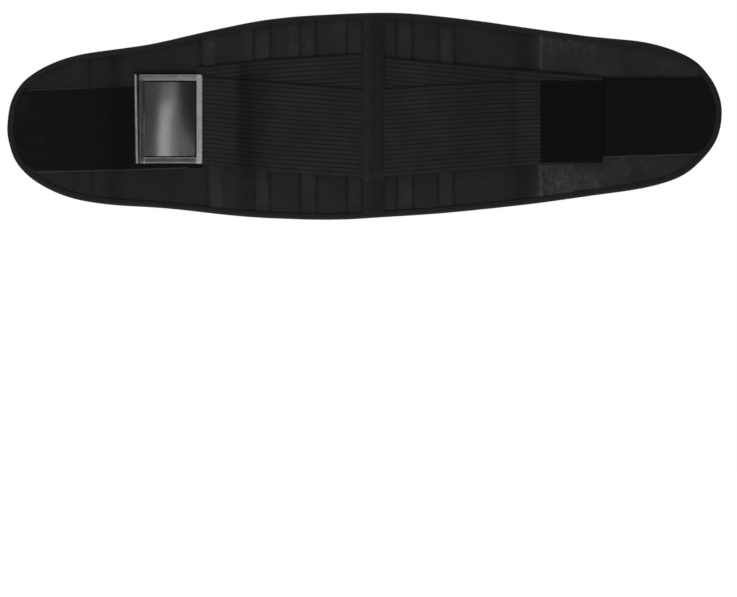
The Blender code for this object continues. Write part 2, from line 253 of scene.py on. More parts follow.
def slab(name, xs, ts, low, high, front, back, material, across=None, lift=None):
    """A closed slab over columns xs and rows ts, which are shares from the low edge to the high edge.

    front and back give y from x, z and the row's share. across scales the share for the pattern's second
    coordinate. lift gives how rubbed the cloth is, and its painted light and shade, for its material.
    """
    lows, highs = low(xs), high(xs)
    t = np.repeat(ts[:, None], len(xs), 1)
    x = np.repeat(xs[None, :], len(ts), 0)
    z = lows + t * (highs - lows)
    sides = [np.stack([x, side(x, z, t), z], -1).reshape(-1, 3) for side in (front, back)]
    index = np.arange(x.size).reshape(x.shape)
    ahead = np.stack([index[:-1, :-1], index[:-1, 1:], index[1:, 1:], index[1:, :-1]], -1).reshape(-1, 4)
    behind = ahead[:, ::-1] + x.size
    ring = np.concatenate([index[0, :], index[1:, -1], index[-1, -2::-1], index[-2:0:-1, 0]])
    after = np.roll(ring, -1)
    rim = np.stack([after, ring, ring + x.size, after + x.size], -1)
    faces = np.concatenate([ahead, behind, rim]).tolist()
    second = z if across is None else t * across
    uv = np.stack([x, second], -1).reshape(-1, 2)
    made = make_object(name, np.concatenate(sides), faces, np.concatenate([uv, uv]), material)
    if lift:
        mark(made, lift)
    return made


def mark(piece, shade):
    """Stores a value of x and z on a piece's points, for its material."""
    points = points_of(piece)
    data = np.asarray(shade(points[:, 0], points[:, 2]), np.float32)
    piece.data.attributes.new("lift", "FLOAT", "POINT").data.foreach_set("value", data)


def rows(count, edge=0.0):
    """Row shares from 0 to 1, with a close pair at each edge for a rounded rim."""
    inner = np.linspace(edge, 1 - edge, count)
    return inner if not edge else np.concatenate([[0, edge / 3], inner, [1 - edge / 3, 1]])


def sweep(name, runs, profile, material, closed=False):
    """A closed profile carried along runs of (place, inward, across) in the XZ plane, with capped ends.

    The profile is (inward distance, y) points, clockwise seen along the run.
    """
    points, faces = [], []
    count = len(profile)
    for place, inward in runs:
        base = len(points)
        for p, n in zip(place, inward):
            points += [(p[0] + n[0] * d, y, p[1] + n[1] * d) for d, y in profile]
        for k in range(len(place) - (0 if closed else 1)):
            here, there = base + k * count, base + ((k + 1) % len(place)) * count
            for j in range(count):
                faces.append((here + j, here + (j + 1) % count, there + (j + 1) % count, there + j))
        if not closed:
            last = base + (len(place) - 1) * count
            faces.append(tuple(base + j for j in reversed(range(count))))
            faces.append(tuple(last + j for j in range(count)))
    return make_solid(name, np.array(points), faces, material)


def face_outwards(piece):
    edit = bmesh.new()
    edit.from_mesh(piece.data)
    bmesh.ops.recalc_face_normals(edit, faces=edit.faces)
    edit.to_mesh(piece.data)
    edit.free()


def make_solid(name, points, faces, material):
    """A closed mesh whose pattern is laid on it from the front."""
    made = make_object(name, points, faces, points[:, [0, 2]], material)
    face_outwards(made)
    return made


def edge_runs(low, high):
    """The stretches of the belt's edge between two x, each with an exact end on each line."""
    count = len(EDGE)
    inside = (EDGE[:, 0] > low) & (EDGE[:, 0] < high)
    found = []
    for start in [i for i in range(count) if inside[i] and not inside[i - 1]]:
        stop = start
        while inside[stop % count]:
            stop += 1
        picked = np.arange(start - 1, stop + 1) % count
        place, inward = EDGE[picked], INWARD[picked]
        for end, nearest in ((0, 1), (-1, -2)):
            line = low if abs(place[end, 0] - low) < abs(place[end, 0] - high) else high
            share = (line - place[nearest, 0]) / (place[end, 0] - place[nearest, 0])
            place[end] = place[nearest] + share * (place[end] - place[nearest])
            inward[end] = (0, -math.copysign(1, place[end, 1]))
        found.append((place, inward))
    return found


def stitch_row(path, y):
    """Stitches along a path of (x, z) points, with y from x and z: a list of (centre, direction)."""
    path = np.asarray(path, float)
    length = travelled(path)
    at = np.arange(STITCH_PITCH / 2, length[-1], STITCH_PITCH)
    x, z = np.interp(at, length, path[:, 0]), np.interp(at, length, path[:, 1])
    ahead = np.minimum(at + 0.5 * MM, length[-1])
    behind = np.maximum(at - 0.5 * MM, 0)
    dx = np.interp(ahead, length, path[:, 0]) - np.interp(behind, length, path[:, 0])
    dz = np.interp(ahead, length, path[:, 1]) - np.interp(behind, length, path[:, 1])
    along = np.stack([dx, 0 * dx, dz], 1) / np.hypot(dx, dz)[:, None]
    return list(zip(np.stack([x, y(x, z), z], 1), along))


def stitches(name, made, material):
    """One mesh of small spindles, one for each stitch."""
    around = 6
    # Each ring's share of the half length and of the radius.
    rings = ((-0.62, 0.75), (0.0, 1.0), (0.62, 0.75))
    points, faces = [], []
    for centre, along in made:
        side, up = np.array([-along[2], 0, along[0]]), np.array([0, 1, 0])
        base = len(points)
        points.append(centre - along * STITCH_HALF)
        for share, width in rings:
            for angle in 2 * math.pi * np.arange(around) / around:
                across = side * math.cos(angle) + up * math.sin(angle)
                points.append(centre + along * STITCH_HALF * share + across * THREAD_RADIUS * width)
        points.append(centre + along * STITCH_HALF)
        last = len(points) - 1
        for k in range(around):
            after = (k + 1) % around
            faces.append((base, base + 1 + after, base + 1 + k))
            faces.append((last, last - around + k, last - around + after))
            for low in (base + 1, base + 1 + around):
                faces.append((low + k, low + after, low + around + after, low + around + k))
    return make_solid(name, np.array(points), faces, material)


# --- materials ---


class Look:
    """A material's node tree, with short calls for its nodes, in millimetres on the flat cloth."""

    def __init__(self, name):
        self.material = bpy.data.materials.new(name)
        self.material.use_nodes = True
        self.tree = self.material.node_tree
        self.shader = self.tree.nodes["Principled BSDF"]
        flat = self.add("UVMap", uv_map="rest")
        self.mm = self.add("VectorMath", {0: flat.outputs[0], "Scale": 1 / MM}, operation="SCALE").outputs[0]

    def add(self, kind, inputs=(), **settings):
        """A node with these settings, and with each input set to a value or joined to a socket."""
        node = self.tree.nodes.new("ShaderNode" + kind)
        for key, value in settings.items():
            setattr(node, key, value)
        self.feed(node, inputs)
        return node

    def feed(self, node, inputs):
        for key, value in dict(inputs).items():
            if isinstance(value, bpy.types.NodeSocket):
                self.tree.links.new(value, node.inputs[key])
            else:
                node.inputs[key].default_value = value

    def stretched(self, x, z, turn=0.0):
        inputs = {"Vector": self.mm, "Scale": (x, z, 1), "Rotation": (0, 0, turn)}
        return self.add("Mapping", inputs).outputs[0]

    def noise(self, size, detail=2.0, stretch=(1, 1), turn=0.0):
        """Noise with features of size millimetres."""
        place = self.stretched(stretch[0] / size, stretch[1] / size, turn)
        return self.add("TexNoise", {"Vector": place, "Scale": 1, "Detail": detail}).outputs["Fac"]

    def wave(self, pitch, turn=0.0, distortion=0.0):
        """Ridges across x, pitch millimetres apart, turned by an angle."""
        place = self.stretched(1 / pitch, 1 / pitch, turn)
        inputs = {"Vector": place, "Scale": math.pi / 10, "Distortion": distortion}
        bands = self.add("TexWave", inputs, wave_type="BANDS", bands_direction="X", wave_profile="SIN")
        return bands.outputs["Fac"]

    def cells(self, size, stretch=(1, 1)):
        """Small round cells of size millimetres."""
        place = self.stretched(stretch[0] / size, stretch[1] / size)
        return self.add("TexVoronoi", {"Vector": place, "Scale": 1}).outputs["Distance"]

    def lift(self):
        """How rubbed the cloth is, with painted light and shade, from the piece's own points."""
        return self.add("Attribute", attribute_type="GEOMETRY", attribute_name="lift").outputs["Fac"]

    def maths(self, operation, a, b=0.0):
        return self.add("Math", {0: a, 1: b}, operation=operation).outputs[0]

    def blend(self, a, b, share):
        """share of b over a, where each is a number or a socket."""
        return self.maths("ADD", self.maths("MULTIPLY", a, 1 - share), self.maths("MULTIPLY", b, share))

    def colours(self, value, *stops):
        """A ramp from value to (place, linear colour) stops, where one number is a grey."""
        node = self.add("ValToRGB", {"Fac": value})
        ramp = node.color_ramp
        while len(ramp.elements) < len(stops):
            ramp.elements.new(0.5)
        for element, (place, colour) in zip(ramp.elements, stops):
            element.position = place
            element.color = (*np.broadcast_to(colour, 3), 1)
        return node.outputs["Color"]

    def numbers(self, value, low, high, to_low, to_high):
        keys = ("Value", "From Min", "From Max", "To Min", "To Max")
        return self.add("MapRange", zip(keys, (value, low, high, to_low, to_high))).outputs[0]

    def bump(self, height, depth, strength=1.0):
        """Relief of depth millimetres."""
        node = self.add("Bump", {"Height": height, "Distance": depth * MM, "Strength": strength})
        self.feed(self.shader, {"Normal": node.outputs[0]})

    def finish(
        self, colour, roughness, sheen=0.0, sheen_roughness=0.5, tint=(1, 1, 1), metallic=0.0, coat=0.0,
        specular=0.5, worn_from=0.3,
    ):
        """The finished material. roughness is a noise, and how rough its low and its high places are."""
        noise, smooth, dull = roughness
        self.feed(self.shader, {
            "Base Color": colour, "Roughness": self.numbers(noise, worn_from, 0.7, smooth, dull),
            "Metallic": metallic, "Specular IOR Level": specular, "Sheen Weight": sheen,
            "Sheen Roughness": sheen_roughness, "Sheen Tint": (*tint, 1), "Coat Weight": coat,
            "Coat Roughness": 0.08,
        })
        return self.material


def velour():
    """Short brushed pile that lies in patches, warm black."""
    look = Look("velour_shell")
    brushed = look.noise(9, 4, (1, 0.6), 0.2)
    patches = look.noise(42, 3)
    streaks = look.noise(3.2, 3, (1, 0.07))
    crushed = look.noise(5.5, 4)
    pile = look.noise(0.5, 3, (1, 0.6))
    shade = look.blend(look.blend(look.blend(brushed, patches, 0.4), streaks, 0.12), pile, 0.18)
    # lift brings the rubbed pile and also the painted shade of the dips, the hollow and the seams.
    rubbed = look.maths("MULTIPLY", look.lift(), look.numbers(crushed, 0.3, 0.7, 0.5, 1.35))
    shade = look.maths("ADD", shade, rubbed)
    colour = look.colours(
        shade, (0.30, (0.0018, 0.0017, 0.0017)), (0.50, (0.0054, 0.0050, 0.0049)),
        (0.66, (0.0115, 0.0103, 0.0102)), (0.95, (0.034, 0.030, 0.0305)),
    )
    look.bump(look.blend(look.blend(pile, brushed, 0.35), crushed, 0.3), 0.45, 0.8)
    return look.finish(colour, (brushed, 0.78, 0.96), 0.05, 0.45, (0.9, 0.86, 0.84), specular=0.2)


def lining():
    """Fine knitted nylon, very slightly blue."""
    look = Look("lining_knit")
    loops = look.maths("MULTIPLY", look.wave(0.55), look.wave(0.75, math.pi / 2))
    worn = look.noise(55, 3)
    fuzz = look.noise(0.4, 2)
    colour = look.colours(
        look.maths("ADD", look.blend(worn, fuzz, 0.35), look.lift()), (0.0, (0.0005, 0.0005, 0.0006)),
        (0.3, (0.0023, 0.0023, 0.0025)), (0.7, (0.0049, 0.0048, 0.0055)), (1.0, (0.0092, 0.0089, 0.0106)),
    )
    look.bump(look.blend(loops, fuzz, 0.4), 0.16, 0.7)
    return look.finish(colour, (worn, 0.72, 0.88), 0.01, 0.4, (0.85, 0.86, 0.95), specular=0.09)


def tape():
    """Grosgrain tape: fine ribs across its length."""
    look = Look("edge_tape")
    weave = look.maths("MAXIMUM", look.wave(0.8, math.pi / 4, 0.4), look.wave(0.8, -math.pi / 4, 0.4))
    rubbed = look.noise(22, 4)
    shade = look.blend(rubbed, weave, 0.4)
    colour = look.colours(shade, (0.3, (0.0022, 0.0024, 0.0022)), (0.75, (0.0062, 0.0066, 0.0063)))
    look.bump(weave, 0.14, 0.8)
    return look.finish(colour, (rubbed, 0.6, 0.8), 0.02, 0.3, (0.9, 0.9, 0.9), specular=0.14)


def webbing():
    """Knitted elastic: rubber cords under each rib, with fine crosswise threads. Y runs across the web."""
    look = Look("elastic_web")
    parts = look.add("SeparateXYZ", {0: look.mm})
    across, width = parts.outputs["Y"], WEB_WIDTH / MM
    share = look.maths("FRACT", look.maths("DIVIDE", across, width / RIBS))
    groove = look.maths("ABSOLUTE", look.maths("SUBTRACT", share, 0.5))
    threads = look.wave(0.85, 0.0, 1.2)
    rows_of_loops = look.wave(1.25, math.pi / 2, 0.3)
    knit = look.maths("MULTIPLY", threads, rows_of_loops)
    tired = look.noise(30, 3, (1, 0.5))
    lit = look.colours(
        look.maths("ADD", look.blend(tired, knit, 0.35), look.lift()),
        (0.0, 0.0012), (0.30, 0.0044), (0.70, (0.0150, 0.0151, 0.0150)),
    )
    # The selvedge band along the web's top edge is painted shadow, and the grooves between the ribs get
    # painted shade.
    selvedge = look.numbers(across, width - 2.6, width - 1.3, 0.0, 1.0)
    shaded = look.maths("MAXIMUM", look.numbers(groove, 0.30, 0.5, 0.0, 0.95), selvedge)
    dark = look.add("Mix", data_type="RGBA", blend_type="MULTIPLY")
    look.feed(dark, {"Factor": shaded, "A": lit, "B": (0.16, 0.16, 0.17, 1)})
    look.bump(knit, 0.2, 0.7)
    return look.finish(dark.outputs["Result"], (tired, 0.62, 0.82), 0.02, 0.35, specular=0.13)


def loop_velvet():
    """Unbroken loop pile: the darkest cloth on the belt."""
    look = Look("loop_velvet")
    curls = look.cells(0.55)
    rubbed = look.noise(17, 4, (0.6, 1))
    pile = look.noise(0.8, 3)
    colour = look.colours(
        look.maths("ADD", look.blend(rubbed, pile, 0.4), look.lift()),
        (0.3, (0.0016, 0.0016, 0.0018)), (0.72, (0.0040, 0.0040, 0.0044)), (1.0, (0.022, 0.0215, 0.0215)),
    )
    look.bump(look.blend(curls, pile, 0.5), 0.45, 0.9)
    return look.finish(colour, (rubbed, 0.85, 1.0), 0.01, 0.5, (0.8, 0.8, 0.9), specular=0.06)


def hook_tape():
    """Moulded hooks in close rows on a woven ground."""
    look = Look("hook_tape")
    rows_of_hooks = look.wave(2.1, math.pi / 2)
    heads = look.cells(0.9, (1.3, 0.7))
    worn = look.noise(26, 3)
    colour = look.colours(
        look.blend(look.blend(rows_of_hooks, heads, 0.35), worn, 0.35),
        (0.25, (0.0018, 0.0017, 0.0024)), (0.75, (0.0078, 0.0073, 0.0104)),
    )
    look.bump(look.blend(heads, rows_of_hooks, 0.5), 0.35, 0.8)
    return look.finish(colour, (worn, 0.5, 0.7), 0.01, 0.3, specular=0.10)


def label_film():
    """Glossy soft plastic film, with a faint orange-peel surface and fine rubs."""
    look = Look("label_film")
    peel = look.noise(5.5, 2)
    rubs = look.noise(0.9, 4, (0.15, 1), 0.5)
    clouded = look.noise(21, 3)
    shade = look.blend(clouded, rubs, 0.2)
    colour = look.colours(shade, (0.3, (0.0028, 0.0028, 0.0042)), (0.7, (0.0062, 0.0062, 0.0088)))
    look.bump(look.blend(peel, rubs, 0.12), 0.02, 0.3)
    return look.finish(colour, (rubs, 0.07, 0.12), coat=0.6, worn_from=0.35)


def label_border():
    """The label's raised border: silver film, with painted shade on the side next to the tab's free end."""
    look = Look("label_border")
    peel = look.noise(4.5, 2)
    rubs = look.noise(0.9, 4, (0.15, 1), 0.5)
    uneven = look.maths("MULTIPLY", look.maths("SUBTRACT", look.noise(13, 3), 0.5), 0.5)
    shade = look.maths("ADD", look.lift(), uneven)
    colour = look.colours(
        shade, (0.05, (0.006, 0.006, 0.007)), (0.4, (0.055, 0.054, 0.058)), (1.0, (0.25, 0.248, 0.262))
    )
    look.bump(look.blend(peel, rubs, 0.15), 0.06, 0.5)
    return look.finish(colour, (rubs, 0.24, 0.4), coat=0.3, worn_from=0.35)


def plain_weave(name, dark, light, pitch, roughness, depth, sheen):
    """A plain over-and-under weave."""
    look = Look(name)
    weave = look.maths("MULTIPLY", look.wave(pitch), look.wave(pitch, math.pi / 2))
    worn = look.noise(18, 3)
    shade = look.maths("ADD", look.blend(worn, weave, 0.45), look.lift())
    colour = look.colours(shade, (0.25, dark), (0.75, light))
    look.bump(weave, depth, 0.8)
    return look.finish(colour, (worn, *roughness), sheen, 0.35, specular=0.14)


def spring_steel():
    look = Look("stay_steel")
    brushed = look.noise(0.5, 4, (1, 0.02))
    oiled = look.noise(24, 3)
    shade = look.blend(brushed, oiled, 0.4)
    colour = look.colours(shade, (0.3, (0.42, 0.43, 0.45)), (0.7, (0.60, 0.61, 0.63)))
    look.bump(brushed, 0.02, 0.4)
    return look.finish(colour, (brushed, 0.22, 0.38), metallic=1.0)


VELOUR, LINING, TAPE, WEB = velour(), lining(), tape(), webbing()
LOOP, HOOK, STEEL = loop_velvet(), hook_tape(), spring_steel()
LABEL, LABEL_EDGE = label_film(), label_border()
COVER, BACKING, THREAD, PAD_THREAD, WELT, TAG, SELVEDGE = (plain_weave(*weave) for weave in (
    ("cover_cloth", 0.0028, (0.0090, 0.0088, 0.0087), 0.9, (0.6, 0.8), 0.12, 0.01),
    ("tab_backing", (0.0030, 0.0032, 0.0032), (0.0060, 0.0064, 0.0064), 0.7, (0.6, 0.8), 0.12, 0.02),
    ("thread", (0.0050, 0.0050, 0.0054), (0.0115, 0.0115, 0.0122), 0.45, (0.45, 0.6), 0.08, 0.03),
    ("pad_thread", (0.0022, 0.0022, 0.0024), (0.0048, 0.0048, 0.0052), 0.45, (0.5, 0.65), 0.08, 0.01),
    ("welt_nylon", (0.0044, 0.0044, 0.0048), (0.0098, 0.0097, 0.0104), 0.5, (0.5, 0.68), 0.06, 0.02),
    ("tag_satin", (0.72, 0.72, 0.71), (0.86, 0.86, 0.85), 0.4, (0.55, 0.7), 0.06, 0.1),
    ("hook_selvedge", (0.055, 0.055, 0.062), (0.10, 0.10, 0.11), 0.5, (0.4, 0.55), 0.05, 0.1),
))


# --- how pieces follow the frame ---


def carry(piece, length, nodes=()):
    """Bakes a piece's transform when it is given its length of belt or strap, or lets it ride on one body if
    that is named instead.

    The piece stands for those of the CAD nodes that share 5 mm or more of its length.
    """
    if isinstance(length, str):
        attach(piece, length)
    else:
        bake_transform(piece)
    xs = points_of(piece)[:, 0]
    for node in nodes:
        low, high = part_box(node)
        if min(high.x, xs.max()) - max(low.x, xs.min()) > min(5 * MM, (high.x - low.x) / 2):
            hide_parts(node)


def declare_sheet(xs, low, high):
    """Works out the size that a piece of cloth was cut to, and keeps nothing of it."""
    length = float(high(xs).max() - low(xs).min())
    height = high(xs) - low(xs)


def make_sheet(
    name, xs, ts, low, high, front, back, material, length, slot, nodes, rests_on, across=None, lift=None
):
    """A slab of cloth, placed as carry() says."""
    piece = slab(name, xs, ts, low, high, front, back, material, across, lift)
    carry(piece, length, nodes)
    declare_sheet(xs, low, high)


def edges_inset(inset):
    """The belt's lower and upper edge as functions of x, moved inward."""
    return lambda x: BELT_LOW(x) + inset, lambda x: BELT_HIGH(x) - inset


def in_belt(low, high, fine):
    """Columns between two x, kept inside the binding."""
    return columns(max(low, INSIDE_LEFT + 0.4 * MM), min(high, INSIDE_RIGHT - 0.4 * MM), 2.0 * MM, fine)


# --- the belt ---

# The x of what crosses the belt: the bar left of the back, the seam right of it, the hook panel's seam,
# the dip beside that panel, and the soft fold in each pair of webs.
LEFT_BAR, RIGHT_SEAM, HOOK_SEAM, HOLLOW = -0.184, 0.212, -0.3305, -0.304
WEB_FOLDS = (-0.147, 0.178)


def wander(z, line):
    """A sewn line is never quite straight."""
    return line + 0.45 * MM * np.sin(z * 23 + line * 61) + 0.22 * MM * np.sin(z * 71 + line * 37)


def channel_dents(x, z, width):
    return sum(dent(x - wander(z, line), width) for line in CHANNEL_LINES)


def stay_ridges(x, z, width):
    """Raised bars over the stays, from 0 to 1."""
    below, above = BELT_HIGH(x) - z, z - BELT_LOW(x)
    reach = smoothstep((below - 12 * MM) / (8 * MM)) * smoothstep((above - 12 * MM) / (8 * MM))
    return sum(smoothstep((CHANNEL_HALF - np.abs(x - wander(z, s))) / width) for s in STAYS) * reach


def seam_bars(x, z):
    """Beside each welt the shell has a raised bar, with the welt's seam along it."""
    left = smoothstep((8.5 * MM - np.abs(x - left_bar(z))) / (3 * MM))
    right = smoothstep((2.4 * MM - np.abs(x - wander(z, RIGHT_SEAM))) / (1.6 * MM))
    return left, right


def left_bar(z):
    """The bar's middle leans: it is further left at the top."""
    return wander(z, LEFT_BAR) - 0.05 * z


def pressed_edge(x, z):
    """How far the binding's seam presses the cloth down, from 0 to 1."""
    from_edge = np.minimum(BELT_HIGH(x) - z, z - BELT_LOW(x))
    return np.exp(-np.maximum(from_edge - BINDING_WIDTH, 0) / (3 * MM))


def shell_face(x, z, t):
    """The outer face: pressed down by the binding, raised over the stays and on the seams, and uneven."""
    left, right = seam_bars(x, z)
    relief = MM * (
        0.38 * stay_ridges(x, z, 4.5 * MM) * (0.55 + 0.9 * cloud(x, z, 48, 5))
        - 0.75 * channel_dents(x, z, 1.2 * MM)
        + 0.35 * left - 0.6 * dent(x - left_bar(z) + 10 * MM, 1.3 * MM)
        + 0.30 * right - 0.35 * dent(x - 0.196, 8 * MM)
        - 0.35 * hollow(x) - 0.30 * dent(x - hook_seam(z), 1.5 * MM)
        + 0.42 * rough(x, z, 26, 3) + 0.16 * rough(x, z, 6, 9) + 0.10 * rough(x, z / 9, 4, 13)
    )
    return np.minimum(-5.3 * MM + 0.55 * MM * pressed_edge(x, z) - relief, -4.3 * MM)


def shell_lift(x, z):
    """Where the pile is rubbed lighter, over the stays, on the seams and most of all on the right wing, and
    painted shade in the dips, the hollow, along the hook panel's seam and in the stitched grooves.
    """
    left, right = seam_bars(x, z)
    wing = smoothstep((x - 0.200) / 0.014) * (0.17 + 0.11 * smoothstep(-z / 0.06))
    wing *= (0.25 + cloud(x, z, 24, 77)) * (1 - 0.7 * smoothstep((x - 0.303 + 0.09 * z) / 0.016))
    # Painted shade in the dips left of the right seam, and below the left strap's fold.
    dips = 0.18 * dent(x - 0.189, 13 * MM) + 0.20 * dent(x + 0.143, 9 * MM) * smoothstep((-z - 0.055) / 0.01)
    return (
        0.10 * stay_ridges(x, z, 4.5 * MM) * (0.4 + cloud(x, z, 22, 79))
        + 0.11 * sum(dent(x - s + 17 * MM, 9 * MM) for s in STAYS[:3]) * smoothstep(z / 0.05)
        + 0.13 * left + 0.20 * right + wing - dips - 0.05 * smoothstep((-0.19 - x) / 0.05)
        # Painted shade in the hollow, along the hook panel's seam, in the stitched channels and in the groove
        # left of the left bar.
        - 0.30 * hollow(x - 1 * MM) - 0.26 * dent(x - hook_seam(z), 2 * MM)
        - 0.20 * (channel_dents(x, z, 1.8 * MM) + dent(x - left_bar(z) + 10 * MM, 1.8 * MM))
    )


def welt_shadows(x):
    """The lining sags beside each welt; lining_lift also paints shadow there with this shape."""
    return 0.7 * dent(x + 0.182, 6 * MM) + 1.6 * dent(x - 0.154, 17 * MM) + 0.5 * dent(x + 0.175, 1.2 * MM)


def lining_lift(x, z):
    """Where the lining is rubbed lighter over the stays, lighter on the right wing, and painted shade in the
    stitched channels and seams, in the hollow and beside the welts.
    """
    return (
        0.10 * stay_ridges(x, z, 5.5 * MM) * cloud(x, z, 40, 33)
        - 0.62 * channel_dents(x, z, 1.25 * MM)
        - 0.62 * panel_seam_dents(x, z)
        - 0.46 * hollow(x)
        - 0.24 * welt_shadows(x)
        + 0.10 * dent(x + 0.225, 9 * MM)
        + 0.30 * smoothstep((x - 0.19) / 0.03)
    )


def lining_face(x, z, t):
    """The inner face, with the same stays, seams and dips."""
    relief = (
        0.55 * stay_ridges(x, z, 5.5 * MM) + 0.30 * rough(x, z, 34, 21) + 0.08 * rough(x, z, 7, 27)
        - 0.95 * channel_dents(x, z, 1.15 * MM) - 0.75 * panel_seam_dents(x, z)
        - 0.3 * welt_shadows(x) - 0.6 * hollow(x) - 0.4 * pressed_edge(x, z)
    )
    return MM * np.maximum(relief, -1)


# Low x, high x, the height at each, and how deep.
PANEL_SEAMS = (
    (-0.398, -0.215, 0.0365, 0.0420, 1.0),
    (-0.398, -0.215, -0.0570, -0.0520, 1.0),
    (0.302, 0.400, -0.0555, -0.0540, 0.4),
)


def panel_seam_dents(x, z):
    """Where the loop panels' stitching comes through to the lining."""
    found = 0
    for low, high, z_low, z_high, depth in PANEL_SEAMS:
        line = z_low + (z_high - z_low) * (x - low) / (high - low)
        inside = smoothstep((x - low) / (3 * MM)) * smoothstep((high - x) / (3 * MM))
        found = found + depth * dent(z - line, 1.3 * MM) * inside
    return found


def hollow(x):
    """The belt dips on both faces beside the stiffer hook panel."""
    return dent(x - HOLLOW, 9 * MM)


def hook_seam(z):
    """Where the hook panel's stitching comes through to the shell."""
    return HOOK_SEAM - 0.03 * z


def make_shell():
    fine = [*CHANNEL_LINES, HOOK_SEAM]
    for length in BELT:
        name, low, high = length[:3]
        xs = in_belt(low, high, fine)
        piece = slab(
            "shell_" + name, xs, rows(130), INSIDE_LOW, INSIDE_HIGH, shell_face, level(-1.3 * MM), VELOUR,
            lift=shell_lift,
        )
        carry(piece, length, nodes_named("laminate_"))


def make_lining():
    for length in BELT:
        name, low, high = length[:3]
        xs = in_belt(low, high, CHANNEL_LINES)
        make_sheet(
            "lining_" + name, xs, rows(150), INSIDE_LOW, INSIDE_HIGH, level(-1.15 * MM), lining_face, LINING,
            length, "lining", nodes_named("lining_"), "shell_" + name, lift=lining_lift,
        )


# Inward distance and y, in millimetres.
BINDING_PROFILE = np.array([
    (7.0, -5.65), (7.05, -6.05), (6.5, -6.35), (5.9, -6.42), (5.2, -6.28), (4.5, -6.50), (3.2, -6.62),
    (2.0, -6.45), (1.0, -5.95), (0.35, -5.0), (0.05, -3.9), (0.0, -2.75), (0.05, -1.6), (0.35, -0.5),
    (1.0, 0.45), (2.0, 0.92), (3.2, 1.05), (4.5, 0.95), (5.2, 0.72), (5.9, 0.88), (6.5, 0.82),
    (7.05, 0.55), (7.0, 0.15), (2.2, 0.05), (1.3, -0.4), (1.3, -5.1), (2.2, -5.55),
]) * MM


def make_binding():
    for length in BELT:
        name, low, high = length[:3]
        piece = sweep("binding_" + name, edge_runs(low, high), BINDING_PROFILE, TAPE)
        carry(piece, length, nodes_named("binding_"))


def welt_cage(node):
    """The flat-based roll that a welt is before it is filled: its points, its faces, and what is sewn."""
    low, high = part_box(node)
    centre, half = (low.x + high.x) / 2, (high.x - low.x) / 2
    top, bottom = BELT_HIGH(centre) - 6 * MM, BELT_LOW(centre) + 6 * MM
    zs = np.linspace(bottom, top, WELT_RINGS)
    crown, base = 15, 6
    points = []
    for z in zs:
        full = smoothstep(min(z - bottom, top - z) / (16 * MM))
        width, height = half * (0.82 + 0.14 * full), (high.y - low.y) * (0.40 + 0.42 * full)
        for angle in np.linspace(0, math.pi, crown):
            points.append((centre + width * math.cos(angle), WELT_BASE + height * math.sin(angle), z))
        points += [(centre - width + 2 * width * k / base, WELT_BASE, z) for k in range(1, base)]
    count = crown + base - 1
    faces = []
    for r in range(WELT_RINGS - 1):
        for k in range(count):
            a, b = r * count + k, r * count + (k + 1) % count
            faces.append((a, b, b + count, a + count))
    faces.append(tuple(reversed(range(count))))
    faces.append(tuple(range((WELT_RINGS - 1) * count, WELT_RINGS * count)))
    points = np.array(points)
    sewn = np.isclose(points[:, 1], WELT_BASE)
    sewn[:count] = sewn[-count:] = True
    return points, faces, sewn


def fill_with_padding(points, faces, sewn):
    """A cloth simulation: cloth longer than its seam, swollen by its filling, puckers most at its ends."""
    mesh = bpy.data.meshes.new("filling")
    mesh.from_pydata((points * SIM_SCALE).tolist(), [], faces)
    roll = place_object("filling", mesh)
    face_outwards(roll)
    seam = roll.vertex_groups.new(name="sewn")
    seam.add(np.flatnonzero(sewn).tolist(), 1.0, "REPLACE")
    ease = roll.vertex_groups.new(name="ease")
    z = points[:, 2]
    to_end = np.minimum(z - z.min(), z.max() - z)
    for i, amount in enumerate(np.exp(-((to_end / (32 * MM)) ** 2))):
        ease.add([i], float(amount), "REPLACE")
    cloth = roll.modifiers.new("filling", "CLOTH")
    settings = cloth.settings
    settings.quality = 8
    settings.vertex_group_mass = "sewn"
    settings.vertex_group_shrink = "ease"
    settings.shrink_min, settings.shrink_max = -0.012, -0.28
    settings.use_pressure = True
    settings.uniform_pressure_force = 4
    settings.bending_stiffness = 0.4
    settings.effector_weights.gravity = 0
    cloth.point_cache.frame_end = SIM_FRAMES
    for frame_number in range(1, SIM_FRAMES + 1):
        bpy.context.scene.frame_set(frame_number)
    swollen = roll.evaluated_get(bpy.context.evaluated_depsgraph_get())
    moved = points_of(swollen) / SIM_SCALE - points
    bpy.context.scene.frame_set(1)
    bpy.data.objects.remove(roll)
    size = np.linalg.norm(moved, axis=1)[:, None]
    return points + moved * np.minimum(1, SIM_CAP / np.maximum(size, 1e-9))


def subdivide(piece):
    """Applies one smooth subdivision."""
    piece.modifiers.new("smooth", "SUBSURF").levels = 1
    smooth = bpy.data.meshes.new_from_object(piece.evaluated_get(bpy.context.evaluated_depsgraph_get()))
    piece.modifiers.clear()
    piece.data = smooth


def make_welt(side, length, folds):
    """A padded roll, gathered at its ends. folds gives each fold's height, and its lean in millimetres."""
    node = side + "_welt"
    points, faces, sewn = welt_cage(node)
    centre, half = (points[:, 0].min() + points[:, 0].max()) / 2, np.ptp(points[:, 0]) / 2
    points = fill_with_padding(points, faces, sewn)
    for height, lean in folds:
        fold = dent(points[:, 2] - height - lean * MM * (points[:, 0] - centre) / half, 2.1 * MM)
        points[:, 1] -= 0.5 * fold * (points[:, 1] - WELT_BASE)
    piece = make_object(node + "_roll", points, faces, points[:, [0, 2]] + points[:, [1, 1]], WELT)
    face_outwards(piece)
    subdivide(piece)
    piece.data.shade_smooth()
    carry(piece, length, [node])


# --- straps ---


def rim(t, share):
    """How far a surface has risen from its edges, from 0 to 1."""
    near = np.clip(np.minimum(t, 1 - t) / share, 0, 1)
    return np.sqrt(1 - (1 - near) ** 2)


def rib(t):
    place = np.abs((t * RIBS) % 1 - 0.5) * 2
    return 1 - place**5


